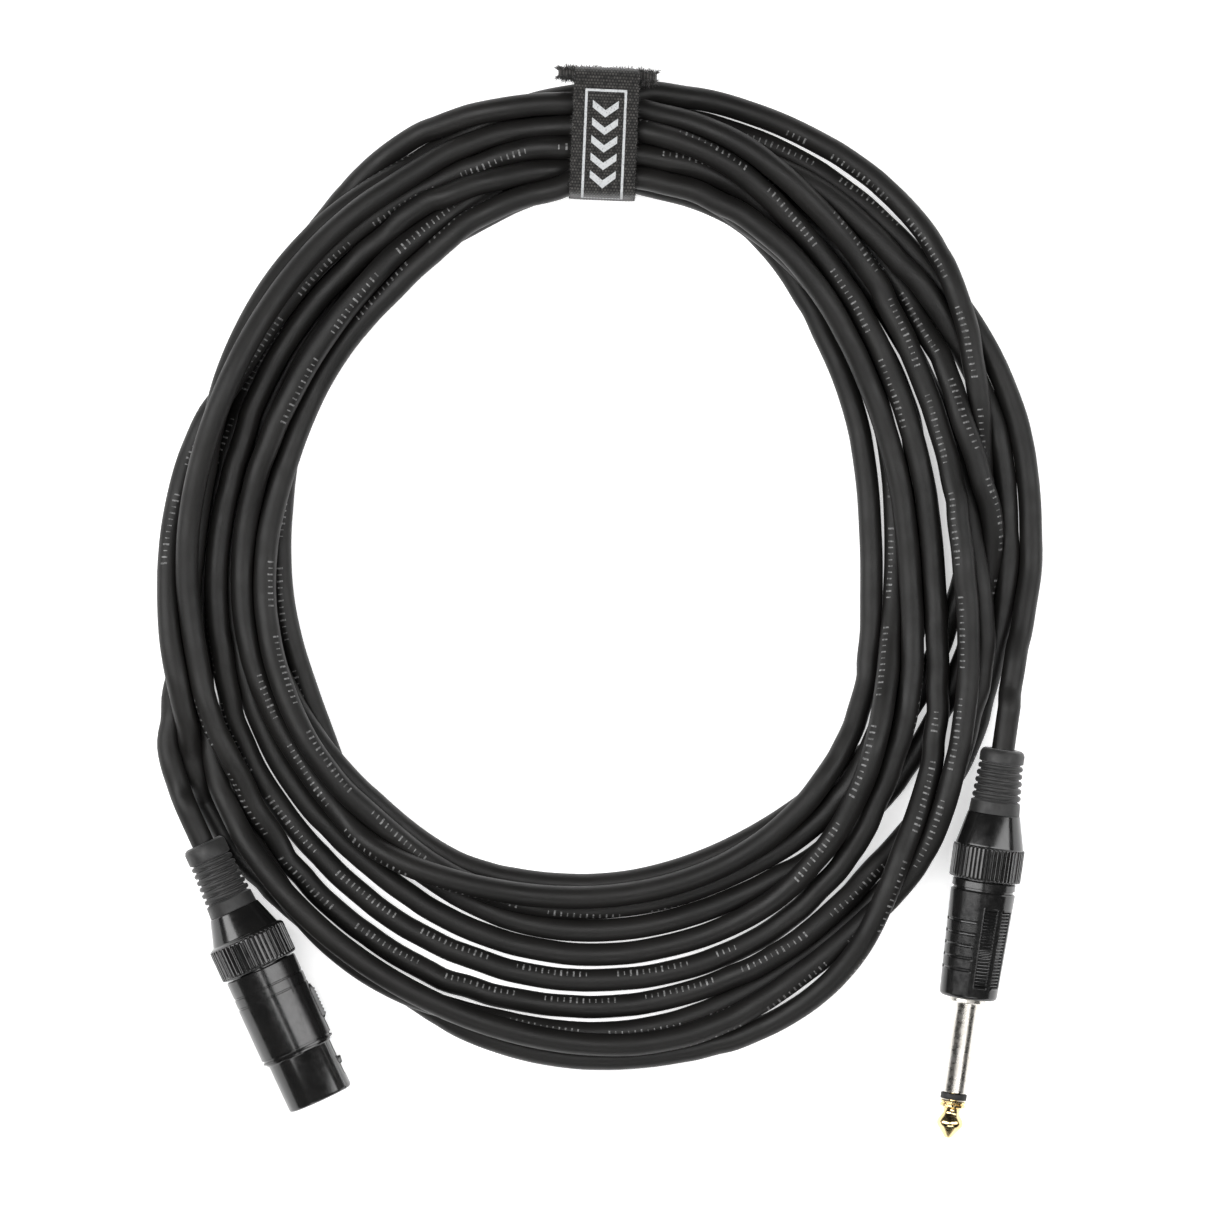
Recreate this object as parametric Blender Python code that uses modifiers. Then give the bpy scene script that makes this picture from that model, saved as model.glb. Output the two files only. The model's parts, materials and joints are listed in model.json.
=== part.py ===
"""A coiled 6 m microphone cable with an XLR socket, a 6.35 mm plug and a hook-and-loop tie.

Every size below is in millimetres. The coil lies flat on z = 0, and each connector is modelled along its own
axis: s (local z) runs from the mating end, 0, towards the cable, and local +x points to its right-hand side.
"""

import math

import bmesh
import bpy
from mathutils import Matrix, Vector

MM = 0.001
GAP = 0.3
MERGE = 0.0001
CURVE_STEPS = 24

# Cable
CABLE_R = 2.75
BORE_R = CABLE_R + GAP
CORE_R = 0.6

# Rubber boots: their plain ends, how deep the grooves between ribs are, and the neck inside the nut
BOOT_BASE = 1.6
BOOT_COLLAR = 3.2
BOOT_GROOVE = 0.8
BOOT_NECK = 3.6
BOOT_NECK_R = 4.3

# Coil: radii of its outside and inside about its middle, every 15 degrees clockwise from +Y
COIL_MIDDLE = (-3.0, 10.6)
COIL_OUTER = (
    113.8, 115.2, 117.1, 114.0, 110.9, 110.0, 109.2, 101.8, 104.9, 110.6, 119.0, 123.4,
    122.6, 117.4, 114.0, 110.4, 106.6, 105.6, 103.2, 100.6, 102.0, 104.9, 109.0, 112.3,
)
COIL_INNER = (
    90.0, 89.3, 85.7, 77.3, 71.0, 67.0, 65.5, 67.4, 71.3, 74.4, 76.1, 75.8,
    76.3, 76.6, 76.1, 75.0, 72.5, 70.8, 71.0, 73.2, 73.6, 75.8, 80.2, 85.0,
)
COIL_STATIONS = 96
COIL_HEIGHT = 11.4
COIL_ROUNDING = 4.2
COIL_FOOT = 2.4
TIE_ANGLE = 2.5
TIE_LIFT = 1.8
TIE_RISE = 4.6
TIE_FLAT = 6.0
TIE_REACH = 24.0

# Tie
TIE_WIDTH = 15.4
TIE_THICK = 1.1
TIE_INSIDE = 88.6
TIE_OUTSIDE = 114.9
TIE_CORNERS = (5.0, 2.6)
HEAD_WIDTH = 23.6
HEAD_THICK = 1.6
TAIL_DROP = 7.0

# XLR socket: where its mating face is, where it points, and its turned sizes
XLR_FRONT = (-66.6, -118.8)
XLR_TURN = 24.7
XLR_TILT = 1.0
XLR_BARREL_R = 8.1
XLR_BARREL_END = 12.9
XLR_BODY_R = 9.15
XLR_BODY_END = 34.7
XLR_STUB_R = 7.3
XLR_STUB_END = 41.0
XLR_BORE_R = 6.9
XLR_KNURL_R = 9.6
XLR_KNURL_END = 43.0
XLR_CONE_END = 50.0
XLR_BOOT_END = 67.6
XLR_CONTACTS = ((0.6, 3.9), (0.6, -3.9), (-3.9, 0.0))
LATCH_PIVOT = (5.2, 32.0)
SPRING_WIRE_R = 0.2

# 6.35 mm plug: the end of its tip, where it points, and its turned sizes
JACK_TIP = (83.9, -128.3)
JACK_TURN = -8.0
JACK_TILT = 3.1
JACK_PIN_R = 3.175
JACK_RING = (9.2, 11.0)
JACK_SHOULDER = 33.0
JACK_BODY_START = 34.0
JACK_BODY_END = 62.7
JACK_STUB_R = 6.4
JACK_STUB_END = 69.0
JACK_KNURL_R = 8.6
JACK_KNURL_END = 71.0
JACK_CONE_END = 79.0
JACK_BOOT_END = 94.5

MATERIALS = {
    "cable_jacket": ((0.030, 0.030, 0.028), 0.48, 0.0),
    "black_shell": ((0.016, 0.016, 0.018), 0.22, 0.0),
    "black_nut": ((0.014, 0.014, 0.015), 0.30, 0.0),
    "boot_rubber": ((0.020, 0.020, 0.020), 0.55, 0.0),
    "insert_plastic": ((0.025, 0.025, 0.027), 0.40, 0.0),
    "clamp_plastic": ((0.60, 0.60, 0.58), 0.45, 0.0),
    "nickel": ((0.74, 0.71, 0.64), 0.14, 1.0),
    "gold": ((0.92, 0.68, 0.28), 0.16, 1.0),
    "spring_steel": ((0.55, 0.55, 0.56), 0.25, 1.0),
    "core_red": ((0.55, 0.04, 0.03), 0.45, 0.0),
    "core_white": ((0.80, 0.80, 0.78), 0.45, 0.0),
    "copper": ((0.72, 0.38, 0.22), 0.30, 1.0),
    "tie_fabric": ((0.018, 0.018, 0.018), 0.85, 0.0),
}


def clear_scene():
    for obj in list(bpy.data.objects):
        bpy.data.objects.remove(obj, do_unlink=True)


def make_collection(name):
    collection = bpy.data.collections.new(name)
    bpy.context.scene.collection.children.link(collection)
    return collection


def material(name):
    """The named material, made on its first use."""
    if name in bpy.data.materials:
        return bpy.data.materials[name]
    colour, roughness, metallic = MATERIALS[name]
    made = bpy.data.materials.new(name)
    made.use_nodes = True
    shader = made.node_tree.nodes["Principled BSDF"]
    shader.inputs["Base Color"].default_value = (*colour, 1.0)
    shader.inputs["Roughness"].default_value = roughness
    shader.inputs["Metallic"].default_value = metallic
    return made


def add(name, data, finish, parent=None):
    obj = bpy.data.objects.new(name, data)
    PARTS.objects.link(obj)
    data.materials.append(material(finish))
    obj.parent = parent
    return obj


def add_frame(name, location, parent=None, matrix=None):
    """An empty that other objects are placed in."""
    frame = bpy.data.objects.new(name, None)
    PARTS.objects.link(frame)
    if matrix is None:
        frame.location = Vector(location) * MM
    else:
        frame.matrix_world = matrix
    frame.parent = parent
    return frame


def turned(name, profile, finish, parent, closed=True, steps=32):
    """A solid of revolution about local z. The profile is (radius, s) points, down the outer side first."""
    mesh = bpy.data.meshes.new(name)
    points = [(r * MM, 0.0, s * MM) for r, s in profile]
    edges = [(i, i + 1) for i in range(len(points) - 1)]
    if closed:
        edges.append((len(points) - 1, 0))
    mesh.from_pydata(points, edges, [])
    obj = add(name, mesh, finish, parent)
    screw = obj.modifiers.new("turn", "SCREW")
    screw.axis = "Z"
    screw.steps = screw.render_steps = steps
    screw.use_merge_vertices = True
    screw.merge_threshold = MERGE
    screw.use_smooth_shade = True
    return obj


def box_mesh(name, low, high):
    """A box between two corners, in millimetres."""
    low, high = Vector(low) * MM, Vector(high) * MM
    size = high - low
    form = bmesh.new()
    place = Matrix.Translation((low + high) / 2) @ Matrix.Diagonal((*size, 1.0))
    bmesh.ops.create_cube(form, size=1.0, matrix=place)
    mesh = bpy.data.meshes.new(name)
    form.to_mesh(mesh)
    form.free()
    return mesh


def rod_mesh(name, start, end, radius, sides=20):
    """A cylinder from one point to another, in millimetres."""
    start, end = Vector(start) * MM, Vector(end) * MM
    along = end - start
    place = Matrix.Translation((start + end) / 2) @ along.to_track_quat("Z", "Y").to_matrix().to_4x4()
    form = bmesh.new()
    bmesh.ops.create_cone(
        form,
        cap_ends=True,
        segments=sides,
        radius1=radius * MM,
        radius2=radius * MM,
        depth=along.length,
        matrix=place,
    )
    mesh = bpy.data.meshes.new(name)
    form.to_mesh(mesh)
    form.free()
    return mesh


def combine(obj, mesh, operation):
    """Cuts a helper mesh from obj, or joins it to obj."""
    helper = bpy.data.objects.new(f"{obj.name}_{operation.lower()}", mesh)
    CUTTERS.objects.link(helper)
    helper.parent = obj.parent
    helper.hide_render = True
    helper.display_type = "WIRE"
    boolean = obj.modifiers.new(operation.lower(), "BOOLEAN")
    boolean.operation = operation
    boolean.object = helper


def on_curve(a, b, c, d, t):
    """The value at share t of the way from b to c, on a smooth curve through all four."""
    slope, bend, twist = c - a, 2 * a - 5 * b + 4 * c - d, 3 * b - a - 3 * c + d
    return 0.5 * (2 * b + slope * t + bend * t**2 + twist * t**3)


def smooth_route(route, count):
    """Evenly spread points along a smooth curve through the route's points."""
    points = [Vector(p) for p in route]
    points = [2 * points[0] - points[1], *points, 2 * points[-1] - points[-2]]
    fine = []
    for corners in zip(points, points[1:], points[2:], points[3:]):
        for step in range(CURVE_STEPS):
            fine.append(on_curve(*corners, step / CURVE_STEPS))
    fine.append(points[-2])
    travelled = [0.0]
    for a, b in zip(fine, fine[1:]):
        travelled.append(travelled[-1] + (b - a).length)
    spread = []
    at = 0
    for step in range(count):
        target = travelled[-1] * step / (count - 1)
        while at < len(fine) - 2 and travelled[at + 1] < target:
            at += 1
        share = (target - travelled[at]) / max(travelled[at + 1] - travelled[at], 1e-9)
        spread.append(fine[at].lerp(fine[at + 1], min(share, 1.0)))
    return spread


def tube(name, points, radius, finish, parent=None, bevel=3):
    """A round wire or cable along points, in millimetres, with filled ends."""
    curve = bpy.data.curves.new(name, "CURVE")
    curve.dimensions = "3D"
    spline = curve.splines.new("POLY")
    spline.points.add(len(points) - 1)
    for slot, point in zip(spline.points, points):
        slot.co = (*(Vector(point) * MM), 1.0)
    curve.bevel_depth = radius * MM
    curve.bevel_resolution = bevel
    curve.use_fill_caps = True
    return add(name, curve, finish, parent)


def connector_matrix(front, turn, tilt, rest_radius, rest_s):
    """Local z runs from the mating end to the cable, raised by tilt. The ring at rest_s lies on z = 0."""
    turn, tilt = math.radians(turn), math.radians(tilt)
    rear = Vector((-math.sin(turn) * math.cos(tilt), math.cos(turn) * math.cos(tilt), math.sin(tilt)))
    right = Vector((math.cos(turn), math.sin(turn), 0.0))
    down = rear.cross(right)
    height = rest_radius * math.cos(tilt) + 0.05 - rest_s * math.sin(tilt)
    turned_axes = Matrix((right, down, rear)).transposed().to_4x4()
    return Matrix.Translation(Vector((front[0], front[1], height)) * MM) @ turned_axes


def along_axis(frame, s):
    """The point at s on a connector's axis, in world millimetres."""
    return frame.matrix_world @ Vector((0.0, 0.0, s * MM)) / MM


def ribbed_boot(name, parent, start, end, radii, ribs):
    """A rubber sleeve with a neck inside the nut, even ribs, and a collar where the cable leaves."""
    front, rear = radii
    collar = end - BOOT_COLLAR
    pitch = (collar - start - BOOT_BASE) / ribs
    outer = [(rear - 0.5, end), (rear, end - 0.6), (rear, collar + 0.6), (rear - BOOT_GROOVE, collar)]
    for rib in range(ribs):
        top = collar - rib * pitch
        ridge = rear + (front - rear) * (rib + 0.5) / ribs
        outer.append((ridge - BOOT_GROOVE, top - 0.35 * pitch))
        outer += [(ridge, top - 0.5 * pitch), (ridge, top - 0.95 * pitch)]
    outer += [(front, start + 0.2), (BOOT_NECK_R, start + 0.2), (BOOT_NECK_R, start - BOOT_NECK)]
    inner = [(BORE_R, start - BOOT_NECK), (BORE_R, end - 2.0), (BORE_R + 0.5, end)]
    return turned(name, outer + inner, "boot_rubber", parent, steps=24)


def envelope(radii, angle):
    """The radius at an angle in degrees, on a smooth curve through evenly spaced radii."""
    step = 360.0 / len(radii)
    place = (angle % 360.0) / step
    k = int(place)
    return on_curve(*(radii[(k + i) % len(radii)] for i in (-1, 0, 1, 2)), place - k)


def tie_share(angle):
    """1 within TIE_FLAT degrees of the tie's middle, falling smoothly to 0 at TIE_REACH degrees."""
    away = abs((angle - TIE_ANGLE + 180.0) % 360.0 - 180.0)
    if away >= TIE_REACH:
        return 0.0
    if away <= TIE_FLAT:
        return 1.0
    return 0.5 + 0.5 * math.cos(math.pi * (away - TIE_FLAT) / (TIE_REACH - TIE_FLAT))


def make_coil():
    """The shape that the wound turns fill: a ring with rounded upper edges, thicker under the tie."""
    form = bmesh.new()
    middle = Vector((*COIL_MIDDLE, 0.0))
    rings = []
    for station in range(COIL_STATIONS):
        angle = 360.0 * station / COIL_STATIONS
        heading = Vector((math.sin(math.radians(angle)), math.cos(math.radians(angle)), 0.0))
        inner, outer = envelope(COIL_INNER, angle), envelope(COIL_OUTER, angle)
        share = tie_share(angle)
        bottom = TIE_LIFT * share
        top = COIL_HEIGHT + TIE_RISE * share
        outer_half = [
            (outer - COIL_FOOT, bottom),
            (outer - 0.3 * COIL_FOOT, bottom + 0.3 * COIL_FOOT),
            (outer, bottom + COIL_FOOT),
            (outer, top - COIL_ROUNDING),
            (outer - 0.3 * COIL_ROUNDING, top - 0.3 * COIL_ROUNDING),
            (outer - COIL_ROUNDING, top),
        ]
        section = outer_half + [(outer + inner - r, z) for r, z in reversed(outer_half)]
        rings.append([form.verts.new((middle + heading * r + Vector((0, 0, z))) * MM) for r, z in section])
    for ring, following in zip(rings, rings[1:] + rings[:1]):
        count = len(ring)
        for i in range(count):
            j = (i + 1) % count
            form.faces.new((ring[i], ring[j], following[j], following[i]))
    bmesh.ops.recalc_face_normals(form, faces=form.faces)
    mesh = bpy.data.meshes.new("cable_coil")
    form.to_mesh(mesh)
    form.free()
    return add("cable_coil", mesh, "cable_jacket")


def coil_point(angle, radius, z):
    heading = math.radians(angle)
    return (COIL_MIDDLE[0] + radius * math.sin(heading), COIL_MIDDLE[1] + radius * math.cos(heading), z)


def make_leads(xlr, jack):
    """The two stretches that run from the connectors' clamps to the wound turns."""
    xlr_route = [along_axis(xlr, s) for s in (36.0, 50.0, 64.0, 76.0)]
    xlr_route += [coil_point(242.5, 110.9, 8.0), coil_point(246.0, 109.6, 6.0)]
    tube("cable_lead_xlr", smooth_route(xlr_route, 26), CABLE_R, "cable_jacket", bevel=2)
    jack_route = [along_axis(jack, s) for s in (67.0, 76.0, 85.0, 94.0, 103.0)]
    jack_route += [coil_point(104.5, 108.7, 8.0)]
    tube("cable_lead_jack", smooth_route(jack_route, 22), CABLE_R, "cable_jacket", bevel=2)


def make_xlr(frame):
    """The socket: shell, insert with three contacts, latch with its spring, clamp, nut, boot and wires."""
    shell = turned(
        "xlr_shell",
        [
            (XLR_STUB_R, XLR_STUB_END),
            (XLR_STUB_R, XLR_BODY_END),
            (XLR_BODY_R, XLR_BODY_END),
            (XLR_BODY_R, XLR_BARREL_END + 0.4),
            (XLR_BODY_R - 0.4, XLR_BARREL_END),
            (XLR_BARREL_R, XLR_BARREL_END),
            (XLR_BARREL_R, 0.5),
            (XLR_BARREL_R - 0.5, 0.0),
            (XLR_BORE_R, 0.0),
            (XLR_BORE_R, 33.2),
            (XLR_STUB_R - 0.9, 33.8),
            (XLR_STUB_R - 0.9, XLR_STUB_END),
        ],
        "black_shell",
        frame,
        steps=40,
    )
    combine(shell, box_mesh("latch_window", (3.0, -2.2, 3.4), (14.0, 2.2, 27.4)), "DIFFERENCE")
    make_insert(frame)
    make_latch(frame)
    clamp = turned(
        "xlr_clamp",
        [(5.0, 42.4), (6.0, 40.6), (6.0, 34.6), (BORE_R, 34.6), (BORE_R, 42.4)],
        "clamp_plastic",
        frame,
        steps=24,
    )
    for low, high in (((-0.5, -8.0, 37.6), (0.5, 8.0, 44.0)), ((-8.0, -0.5, 37.6), (8.0, 0.5, 44.0))):
        combine(clamp, box_mesh("clamp_slot", low, high), "DIFFERENCE")
    make_xlr_wires(frame)
    slide = add_frame("xlr_boot_axis", (0, 0, 0), frame)
    ribbed_boot("xlr_boot", slide, XLR_CONE_END, XLR_BOOT_END, (5.9, 5.0), 6)
    turned(
        "xlr_nut",
        [
            (6.2, XLR_CONE_END),
            (8.3, XLR_KNURL_END + 0.5),
            (9.2, XLR_KNURL_END),
            (XLR_KNURL_R, XLR_KNURL_END - 0.4),
            (XLR_KNURL_R, XLR_BODY_END + 0.7),
            (XLR_KNURL_R - 0.4, XLR_BODY_END + GAP),
            (XLR_STUB_R + GAP, XLR_BODY_END + GAP),
            (XLR_STUB_R + GAP, XLR_STUB_END + 1.2),
            (4.6, XLR_STUB_END + 5.0),
            (4.6, XLR_CONE_END),
        ],
        "black_nut",
        add_frame("xlr_nut_axis", (0, 0, 0), slide),
    )


def make_insert(frame):
    insert = turned(
        "xlr_insert",
        [(0.0, 20.0), (XLR_BORE_R - GAP, 20.0), (XLR_BORE_R - GAP, 0.6), (0.0, 0.6)],
        "insert_plastic",
        frame,
        closed=False,
    )
    combine(insert, box_mesh("latch_channel", (2.9, -2.4, -1.0), (9.0, 2.4, 22.0)), "DIFFERENCE")
    for number, (x, y) in enumerate(XLR_CONTACTS, start=1):
        combine(insert, rod_mesh("contact_hole", (x, y, -1.0), (x, y, 22.0), 1.75), "DIFFERENCE")
        contact = turned(
            f"xlr_contact_{number}",
            [(0.0, 22.0), (1.4, 22.0), (1.4, 1.2), (1.15, 1.2), (1.15, 14.0), (0.0, 14.0)],
            "gold",
            frame,
            closed=False,
            steps=16,
        )
        contact.location = Vector((x, y, 0.0)) * MM


def make_latch(frame):
    """A lever on its own trunnions, with a hook near the mating face and a button in the shell's window."""
    x, s = LATCH_PIVOT
    pivot = add_frame("xlr_latch_axis", (x, 0, s), frame)
    lever = add("xlr_latch", box_mesh("lever", (-0.1, -1.8, 4.2 - s), (1.1, 1.8, 0.5)), "black_nut", pivot)
    hook = box_mesh("hook", (0.5, -1.7, 5.0 - s), (8.7 - x, 1.7, 8.0 - s))
    button = box_mesh("button", (0.6, -1.8, 17.4 - s), (10.0 - x, 1.8, 26.6 - s))
    trunnion = rod_mesh("trunnion", (0.0, -2.8, 0.0), (0.0, 2.8, 0.0), 0.7, 14)
    for piece in (hook, button, trunnion):
        combine(lever, piece, "UNION")
    turns, radius, seat, height, middle = 2.0, 1.2, 3.2, 0.8, 19.0
    count = 20
    points = []
    for i in range(count + 1):
        turn = 2 * math.pi * turns * i / count
        points.append((seat + height * i / count, radius * math.cos(turn), middle + radius * math.sin(turn)))
    tube("xlr_latch_spring", points, SPRING_WIRE_R, "spring_steel", frame, bevel=1)


def make_xlr_wires(frame):
    """Two insulated cores and the screen's tail, from the end of the jacket to the contacts."""
    finishes = ("core_red", "core_white", "copper")
    names = ("xlr_core_live", "xlr_core_return", "xlr_screen_tail")
    starts = ((1.3, 0.9), (1.3, -0.9), (-1.4, 0.0))
    for name, finish, start, end in zip(names, finishes, starts, XLR_CONTACTS):
        route = [(*start, 35.7), (*start, 33.0), (end[0], end[1], 25.5), (end[0], end[1], 22.3)]
        tube(name, smooth_route(route, 9), CORE_R, finish, frame, bevel=1)


def make_jack(frame):
    """The plug: tip on its rod, insulators, sleeve, terminals, housing, clamp, nut and boot."""
    ring_low, ring_high = JACK_RING
    turned(
        "jack_tip",
        [
            (0.0, 44.0),
            (1.2, 44.0),
            (1.2, ring_low),
            (3.1, ring_low),
            (3.1, 7.9),
            (1.9, 7.0),
            (1.9, 6.0),
            (3.1, 3.9),
            (3.1, 3.3),
            (0.9, 0.2),
            (0.7, 0.0),
            (0.0, 0.0),
        ],
        "gold",
        frame,
        closed=False,
        steps=24,
    )
    turned(
        "jack_insulator_ring",
        [(3.15, ring_high - 0.1), (3.15, ring_low + GAP), (1.5, ring_low + GAP), (1.5, ring_high - 0.1)],
        "insert_plastic",
        frame,
        steps=24,
    )
    turned(
        "jack_sleeve",
        [
            (5.6, 42.0),
            (5.6, JACK_BODY_START + GAP),
            (4.6, JACK_BODY_START),
            (4.3, JACK_BODY_START),
            (4.3, JACK_SHOULDER),
            (JACK_PIN_R, JACK_SHOULDER),
            (JACK_PIN_R, ring_high + 0.2),
            (2.3, ring_high + 0.2),
            (2.3, 42.0),
        ],
        "nickel",
        frame,
    )
    turned(
        "jack_inner_bush",
        [(2.0, 42.6), (2.0, ring_high + 0.5), (1.5, ring_high + 0.5), (1.5, 42.6)],
        "insert_plastic",
        frame,
        steps=16,
    )
    turned(
        "jack_housing",
        [
            (JACK_STUB_R, JACK_STUB_END),
            (JACK_STUB_R, JACK_BODY_END),
            (7.65, JACK_BODY_END),
            (7.65, 60.6),
            (7.8, 60.0),
            (6.9, JACK_BODY_START + 0.8),
            (6.4, JACK_BODY_START + GAP),
            (5.9, JACK_BODY_START + GAP),
            (5.9, 62.0),
            (5.5, 62.6),
            (5.5, JACK_STUB_END),
        ],
        "black_shell",
        frame,
        steps=36,
    )
    clamp = turned(
        "jack_clamp",
        [(4.3, 70.6), (5.1, 69.0), (5.1, 60.0), (BORE_R, 60.0), (BORE_R, 70.6)],
        "clamp_plastic",
        frame,
        steps=24,
    )
    for low, high in (((-0.5, -8.0, 64.0), (0.5, 8.0, 72.0)), ((-8.0, -0.5, 64.0), (8.0, 0.5, 72.0))):
        combine(clamp, box_mesh("clamp_slot", low, high), "DIFFERENCE")
    make_jack_wires(frame)
    slide = add_frame("jack_boot_axis", (0, 0, 0), frame)
    ribbed_boot("jack_boot", slide, JACK_CONE_END, JACK_BOOT_END, (6.1, 5.15), 5)
    turned(
        "jack_nut",
        [
            (6.3, JACK_CONE_END),
            (8.2, JACK_KNURL_END + 0.4),
            (8.2, JACK_KNURL_END),
            (JACK_KNURL_R, JACK_KNURL_END - 0.3),
            (JACK_KNURL_R, JACK_BODY_END + 0.6),
            (JACK_KNURL_R - 0.3, JACK_BODY_END + GAP),
            (JACK_STUB_R + GAP, JACK_BODY_END + GAP),
            (JACK_STUB_R + GAP, JACK_STUB_END + 0.8),
            (4.6, JACK_STUB_END + 5.4),
            (4.6, JACK_CONE_END),
        ],
        "black_nut",
        add_frame("jack_nut_axis", (0, 0, 0), slide),
    )


def make_jack_wires(frame):
    """The live core runs to the tip's rod, and the screen's tail to the sleeve's long lug."""
    add("jack_tip_tag", box_mesh("jack_tip_tag", (-1.0, -0.3, 44.3), (1.0, 0.3, 49.0)), "nickel", frame)
    add("jack_sleeve_lug", box_mesh("jack_sleeve_lug", (-1.6, 3.0, 42.3), (1.6, 3.6, 57.5)), "nickel", frame)
    live = [(0.0, -0.6, 66.6), (0.0, -0.8, 60.0), (0.0, -1.2, 50.0), (0.0, -1.2, 46.0)]
    tube("jack_core_live", smooth_route(live, 10), CORE_R, "core_red", frame, bevel=1)
    screen = [(0.0, 1.2, 66.6), (0.0, 1.3, 62.0), (0.0, 1.9, 58.0), (0.0, 1.9, 52.0)]
    tube("jack_screen_tail", smooth_route(screen, 9), CORE_R, "copper", frame, bevel=1)


def tie_section(offset):
    """The band's outline in its own plane, as (outward, up) points at an offset from the bundle it holds."""
    inside, outside = TIE_INSIDE - offset, TIE_OUTSIDE + offset
    low, high = TIE_LIFT - GAP - offset, COIL_HEIGHT + TIE_RISE + GAP + offset
    above, below = TIE_CORNERS[0] + offset, TIE_CORNERS[1] + offset
    corners = (
        (outside - above, high - above, above, 90),
        (outside - below, low + below, below, 0),
        (inside + below, low + below, below, -90),
        (inside + above, high - above, above, 180),
    )
    points = []
    for across, up, radius, start in corners:
        for step in range(5):
            turn = math.radians(start - 90 * step / 4)
            points.append((across + radius * math.cos(turn), up + radius * math.sin(turn)))
    return points


def banded(name, outline, width, finish, parent, holes=()):
    """An outline in the tie's plane, given a width across it."""
    curve = bpy.data.curves.new(name, "CURVE")
    curve.dimensions = "2D"
    curve.fill_mode = "BOTH"
    curve.extrude = width / 2 * MM
    for ring in (outline, *holes):
        spline = curve.splines.new("POLY")
        spline.points.add(len(ring) - 1)
        spline.use_cyclic_u = True
        for slot, (across, up) in zip(spline.points, ring):
            slot.co = (across * MM, up * MM, 0.0, 1.0)
    return add(name, curve, finish, parent)


def make_tie(frame):
    """A band round the bundle, its T head at the outside, and the tail folded back over the top."""
    wrap_out, wrap_in = tie_section(TIE_THICK), tie_section(0.0)
    banded("tie_band", wrap_out, TIE_WIDTH, "tie_fabric", frame, holes=(wrap_in,))
    top = COIL_HEIGHT + TIE_RISE + 2 * GAP + TIE_THICK
    edge = TIE_OUTSIDE + TIE_THICK + GAP
    head_low, head_high = top - 8.6, top - 1.6
    far = edge + HEAD_THICK
    head = [(edge, head_low), (far, head_low), (far, head_high), (edge, head_high)]
    banded("tie_head", head, HEAD_WIDTH, "tie_fabric", frame)
    near = TIE_INSIDE - TIE_THICK - GAP
    fold, middle = edge + HEAD_THICK / 2, top + TIE_THICK / 2
    hinge = add_frame("tie_tail_axis", (fold, middle, 0), frame)
    tail = [(fold, top), (fold, top + TIE_THICK), (near + 3.5, top + TIE_THICK)]
    tail += [(near + 0.4, top + TIE_THICK - 1.4), (near - TIE_THICK, top - 3.2)]
    tail += [(near - TIE_THICK, top - TAIL_DROP), (near, top - TAIL_DROP)]
    tail += [(near, top - 2.8), (near + 1.4, top - 0.9), (near + 4.0, top)]
    shifted = [(across - fold, up - middle) for across, up in tail]
    banded("tie_tail", shifted, TIE_WIDTH, "tie_fabric", hinge)


def tie_frame():
    """Local x points away from the coil's middle, local y up, and local z across the band."""
    heading = math.radians(TIE_ANGLE)
    outward = Vector((math.sin(heading), math.cos(heading), 0.0))
    up = Vector((0.0, 0.0, 1.0))
    axes = Matrix((outward, up, outward.cross(up))).transposed().to_4x4()
    matrix = Matrix.Translation(Vector((*COIL_MIDDLE, 0.0)) * MM) @ axes
    return add_frame("tie_plane", None, matrix=matrix)


clear_scene()
PARTS = make_collection("coiled_microphone_cable")
CUTTERS = make_collection("cutters")
xlr_frame = add_frame(
    "xlr_frame", None, matrix=connector_matrix(XLR_FRONT, XLR_TURN, XLR_TILT, XLR_KNURL_R, XLR_BODY_END)
)
jack_frame = add_frame(
    "jack_frame", None, matrix=connector_matrix(JACK_TIP, JACK_TURN, JACK_TILT, JACK_KNURL_R, JACK_BODY_END)
)
bpy.context.view_layer.update()
make_coil()
make_leads(xlr_frame, jack_frame)
make_xlr(xlr_frame)
make_jack(jack_frame)
make_tie(tie_frame())
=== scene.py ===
"""The looks of the coiled microphone cable: jacket laid turn by turn, socket, plug and hook-and-loop tie."""

import json
import math

import bmesh
import bpy
import numpy as np
from mathutils import Matrix, Vector


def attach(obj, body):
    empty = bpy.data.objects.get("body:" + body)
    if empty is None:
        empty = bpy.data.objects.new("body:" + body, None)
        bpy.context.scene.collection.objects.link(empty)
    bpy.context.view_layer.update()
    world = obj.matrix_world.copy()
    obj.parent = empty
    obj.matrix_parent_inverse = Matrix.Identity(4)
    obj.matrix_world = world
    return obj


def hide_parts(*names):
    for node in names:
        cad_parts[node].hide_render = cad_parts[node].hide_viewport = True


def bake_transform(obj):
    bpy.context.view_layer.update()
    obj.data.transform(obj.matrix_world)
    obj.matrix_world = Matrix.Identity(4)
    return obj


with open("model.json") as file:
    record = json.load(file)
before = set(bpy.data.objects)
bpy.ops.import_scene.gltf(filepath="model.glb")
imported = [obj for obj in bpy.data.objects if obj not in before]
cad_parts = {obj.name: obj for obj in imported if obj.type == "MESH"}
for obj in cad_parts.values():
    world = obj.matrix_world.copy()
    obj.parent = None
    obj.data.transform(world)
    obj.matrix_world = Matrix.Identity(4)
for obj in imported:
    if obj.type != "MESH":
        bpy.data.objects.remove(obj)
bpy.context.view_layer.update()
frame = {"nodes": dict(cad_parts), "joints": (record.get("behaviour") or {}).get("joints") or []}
NODES = frame["nodes"]

MM = 0.001
SHARP_ANGLE = 32

# Cable, in mm. Angles run clockwise from the top, round the coil's middle.
CABLE_R = 2.75
CABLE_D = 2 * CABLE_R
COIL_MIDDLE = np.array((-3.0, 10.6))
STATION = 15.0
FIRST_ANGLE = 240.0
SETTLED_FROM = 257.0
LAST_LEFT_OFF = 12.0
POINT_GAP = 3.0
RING_GAP = 1.5
RING_SIDES = 20
LAYER = 4.9

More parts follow.
